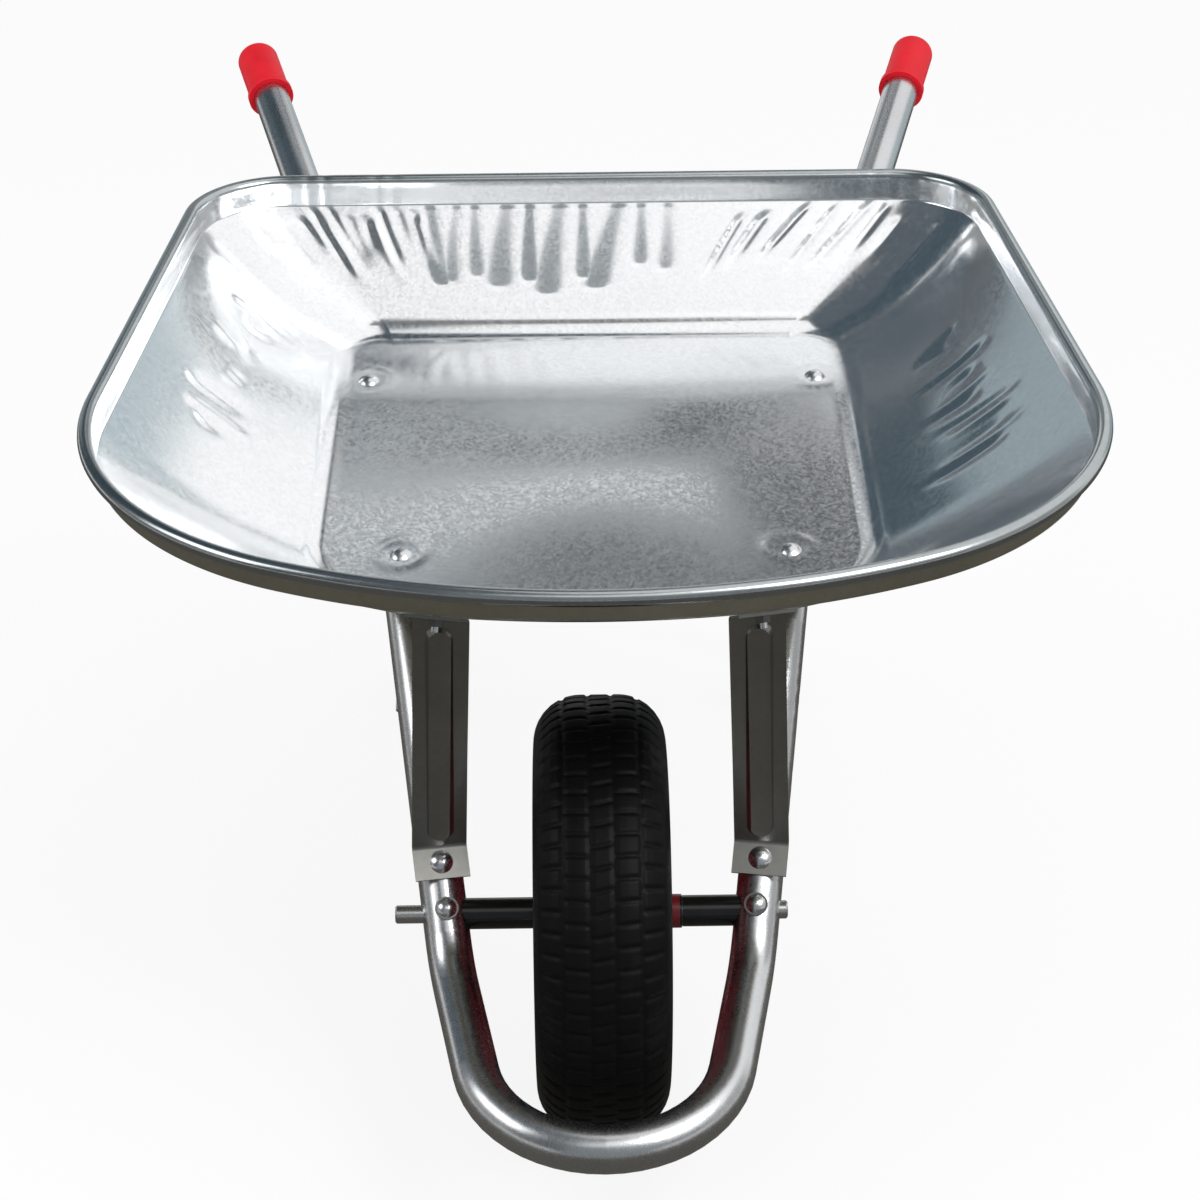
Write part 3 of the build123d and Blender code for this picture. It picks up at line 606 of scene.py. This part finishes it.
def tread_cut(w, theta):
    """How far the tread is cut away, 0 to 1: long grooves, and gaps that step from band to band."""
    near = np.min([np.abs(w - g) for g in TREAD_GROOVES], 0)
    band = np.searchsorted(TREAD_GROOVES, w)
    skew = MIDDLE_SKEW * np.where(band == MIDDLE_BAND, w, 0) + BLOCK_SPLAY * np.abs(w)
    shift = np.where(band % 2 == 0, 0.0, 0.5) + skew
    pitch = 2 * math.pi / BLOCKS
    phase = (theta[:, None] / pitch + shift[None, :]) % 1.0
    cross = np.minimum(phase, 1 - phase) * pitch * TYRE_R
    gap = np.where(np.abs(w) > TREAD_GROOVES[-1], SHOULDER_GAP, BLOCK_GAP)[None, :]
    groove = smooth((GROOVE_HALF - near)[None, :] / TREAD_EDGE + 0.5)
    cut = np.maximum(groove, smooth((gap - cross) / TREAD_EDGE + 0.5))
    return cut * smooth((TREAD_REACH - np.abs(w)) / TREAD_FADE)[None, :]


def build_tyre():
    outer, w = spaced(rounded_line(mirrored(TYRE_OUTSIDE) + TYRE_OUTSIDE[::-1]), OUTSIDE_STEP)
    inner = spaced(rounded_line(TYRE_INSIDE + mirrored(TYRE_INSIDE[::-1])), INSIDE_STEP)[0]
    along = np.gradient(outer, axis=0)
    out = unit(np.stack([-along[:, 1], along[:, 0]], 1))
    theta = np.linspace(0, 2 * math.pi, AROUND, endpoint=False)
    cut = tread_cut(w, theta)
    x, r = (
        np.concatenate(
            [outer[None, :, k] - out[None, :, k] * TREAD_DEEP * cut, np.repeat(inner[None, :, k], AROUND, 0)], 1
        )
        for k in (0, 1)
    )
    y, z = r * np.cos(theta)[:, None], r * np.sin(theta)[:, None]
    verts = np.stack([x, y, z], 2).reshape(-1, 3) * MM + np.array(AXLE)
    faces = net(AROUND, x.shape[1], True)
    tyre = new_mesh("tyre_tread", verts, faces, "wheel", [look["tyre_rubber"]])
    crown = max(tyre.data.polygons, key=lambda q: q.center.z)
    if crown.normal.z < 0:
        tyre.data.flip_normals()
    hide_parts("tyre")


build_tyre()
build_tray()

# Studio: white floor and surround, two soft lamps, and screens of several tones that only reflections see.
TRAY_MIDDLE = Vector((0, -0.15, 0.45))
GROUND_SCREEN = (0, 0, 0.0006), (7, 7), (0, 0, 1), (0.11, 0.105, 0.095)
# Name: bearing (0 is behind the grips, 90 to the right), elevation, distance, size, colour.
SCREENS = {
    "left": (-52, 40, 3.0, (3.8, 4.4), (0.060, 0.085, 0.105)),
    "left_low": (-27, 11, 2.7, (1.5, 1.15), (0.30, 0.36, 0.39)),
    "left_over": (-100, 64, 3.2, (3.6, 2.4), (0.09, 0.11, 0.13)),
    "right_low": (30, 5, 3.1, (2.8, 1.3), (0.44, 0.52, 0.55)),
    "right_white": (36, 29, 3.1, (2.5, 1.2), (1.0, 1.0, 1.0)),
    "top": (-4, 43, 3.6, (1.9, 1.5), (0.095, 0.105, 0.11)),
    "patch": (-5, 41.7, 3.3, (1.15, 0.20), (0.82, 0.84, 0.85)),
    "behind": (-6, 33.4, 3.2, (0.9, 0.32), (0.60, 0.63, 0.65)),
    "near_left": (-140, 45, 3.4, (2.0, 2.8), (0.10, 0.115, 0.125)),
    "left_near_low": (-138, 11, 3.3, (2.2, 1.3), (0.09, 0.10, 0.11)),
    "right_near_low": (134, 9, 3.3, (1.9, 0.95), (0.20, 0.22, 0.23)),
    "side_left": (-96, 12, 3.0, (2.4, 1.6), (0.26, 0.26, 0.26)),
    "side_right": (96, 12, 3.0, (2.4, 1.6), (0.45, 0.45, 0.45)),
    "near_right": (146, 37, 3.4, (1.2, 1.3), (0.34, 0.35, 0.36)),
    "near_white": (180, 49, 3.6, (1.7, 1.66), (1.0, 1.0, 1.0)),
    "near_low": (180, 17, 3.4, (4.0, 2.9), (0.26, 0.285, 0.30)),
    "near_over": (180, 69, 3.4, (1.2, 0.9), (0.2, 0.2, 0.2)),
    "right_over": (122, 61, 3.2, (2.6, 1.3), (1.0, 1.0, 1.0)),
    "far": (0, 24, 3.3, (1.7, 0.75), (0.22, 0.22, 0.22)),
}
FLOOR_HALF = 30
FLOOR_Z = -0.0005
FLOOR_TONE = (0.9, 0.9, 0.9, 1)
FLOOR_ROUGH = 0.9
FLOOR_WHITE = 0.86
WORLD_LIGHT = 0.75
WORLD_SEEN = 1.0
# Name: place, target, size, watts.
LAMPS = {
    "key": ((1.6, -1.6, 2.6), (0, -0.1, 0.3), (1.6, 1.2), 42),
    "fill": ((-2.2, -0.8, 2.0), (0, 0, 0.3), (1.8, 1.2), 16),
}
CAMERA_PLACE = (-0.0154, AXLE.y - 1.8858, 1.3576)
CAMERA_ANGLES = (26.1, 0.5, -0.5)
CAMERA_LENS = 86.6
CAMERA_SENSOR = 36.0


def plane(name, w, h):
    mesh = bpy.data.meshes.new(name)
    mesh.from_pydata([(-w, -h, 0), (w, -h, 0), (w, h, 0), (-w, h, 0)], [], [(0, 1, 2, 3)])
    return add_object(name, mesh)


def screen(name, centre, size, normal, colour):
    obj = plane(name, size[0] / 2, size[1] / 2)
    turn = Vector(normal).normalized().to_track_quat("Z", "Y").to_matrix().to_4x4()
    obj.matrix_world = Matrix.Translation(centre) @ turn
    mat, tree = node_material(name)
    tree.nodes.clear()
    glow = tree.nodes.new("ShaderNodeEmission")
    glow.inputs["Color"].default_value = (*colour, 1)
    out = tree.nodes.new("ShaderNodeOutputMaterial")
    tree.links.new(glow.outputs[0], out.inputs["Surface"])
    obj.data.materials.append(mat)
    for ray in ("camera", "diffuse", "transmission", "volume_scatter", "shadow"):
        setattr(obj, "visible_" + ray, False)


def build_screens():
    screen("screen_ground", *GROUND_SCREEN)
    for name, (bearing, elevation, far, size, colour) in SCREENS.items():
        a, e = math.radians(bearing), math.radians(elevation)
        way = Vector((math.sin(a) * math.cos(e), math.cos(a) * math.cos(e), math.sin(e)))
        screen("screen_" + name, TRAY_MIDDLE + way * far, size, -way, colour)


def build_floor():
    """A matt floor that the camera sees as nearly white."""
    floor = plane("floor", FLOOR_HALF, FLOOR_HALF)
    floor.location.z = FLOOR_Z
    mat, tree = node_material("floor")
    matt = tree.nodes["Principled BSDF"]
    matt.inputs["Base Color"].default_value = FLOOR_TONE
    matt.inputs["Roughness"].default_value = FLOOR_ROUGH
    white = tree.nodes.new("ShaderNodeEmission")
    white.inputs["Strength"].default_value = 1.0
    path = tree.nodes.new("ShaderNodeLightPath")
    share = math_node(tree, "ShaderNodeMath", "MULTIPLY")
    share.inputs[1].default_value = FLOOR_WHITE
    blend = tree.nodes.new("ShaderNodeMixShader")
    tree.links.new(path.outputs["Is Camera Ray"], share.inputs[0])
    tree.links.new(share.outputs[0], blend.inputs[0])
    tree.links.new(matt.outputs[0], blend.inputs[1])
    tree.links.new(white.outputs[0], blend.inputs[2])
    tree.links.new(blend.outputs[0], tree.nodes["Material Output"].inputs["Surface"])
    floor.data.materials.append(mat)


def build_world():
    """White where it is seen, mirrored or looked through, and a little less as light."""
    world = bpy.data.worlds.new("studio")
    bpy.context.scene.world = world
    world.use_nodes = True
    tree = world.node_tree
    back = tree.nodes["Background"]
    back.inputs["Color"].default_value = (1, 1, 1, 1)
    path = tree.nodes.new("ShaderNodeLightPath")
    seen = path.outputs["Is Camera Ray"]
    for ray in ("Is Glossy Ray", "Is Transmission Ray"):
        either = math_node(tree, "ShaderNodeMath", "MAXIMUM")
        tree.links.new(seen, either.inputs[0])
        tree.links.new(path.outputs[ray], either.inputs[1])
        seen = either.outputs[0]
    strength = tree.nodes.new("ShaderNodeMapRange")
    strength.inputs["To Min"].default_value = WORLD_LIGHT
    strength.inputs["To Max"].default_value = WORLD_SEEN
    tree.links.new(seen, strength.inputs["Value"])
    tree.links.new(strength.outputs["Result"], back.inputs["Strength"])


def build_lamps():
    for name, (at, target, size, watts) in LAMPS.items():
        data = bpy.data.lights.new(name, "AREA")
        data.shape = "RECTANGLE"
        data.size, data.size_y = size
        data.energy = watts
        obj = add_object(name, data)
        obj.location = at
        obj.rotation_euler = (Vector(target) - Vector(at)).to_track_quat("-Z", "Y").to_euler()


def build_camera():
    """The photograph's view: from the wheel end, above, with a trace of yaw and roll."""
    data = bpy.data.cameras.new("camera")
    data.sensor_width = CAMERA_SENSOR
    data.lens = CAMERA_LENS
    pitch, yaw, roll = (math.radians(a) for a in CAMERA_ANGLES)
    ahead = Vector((math.sin(yaw) * math.cos(pitch), math.cos(yaw) * math.cos(pitch), -math.sin(pitch)))
    right = Vector((math.cos(yaw), -math.sin(yaw), 0))
    above = right.cross(ahead)
    x = right * math.cos(roll) + above * math.sin(roll)
    y = -right * math.sin(roll) + above * math.cos(roll)
    turn = Matrix((x, y, -ahead)).transposed().to_4x4()
    obj = add_object("camera", data)
    obj.matrix_world = Matrix.Translation(CAMERA_PLACE) @ turn
    bpy.context.scene.camera = obj


build_screens()
build_floor()
build_world()
build_lamps()
build_camera()
bpy.context.scene.view_settings.view_transform = "Standard"
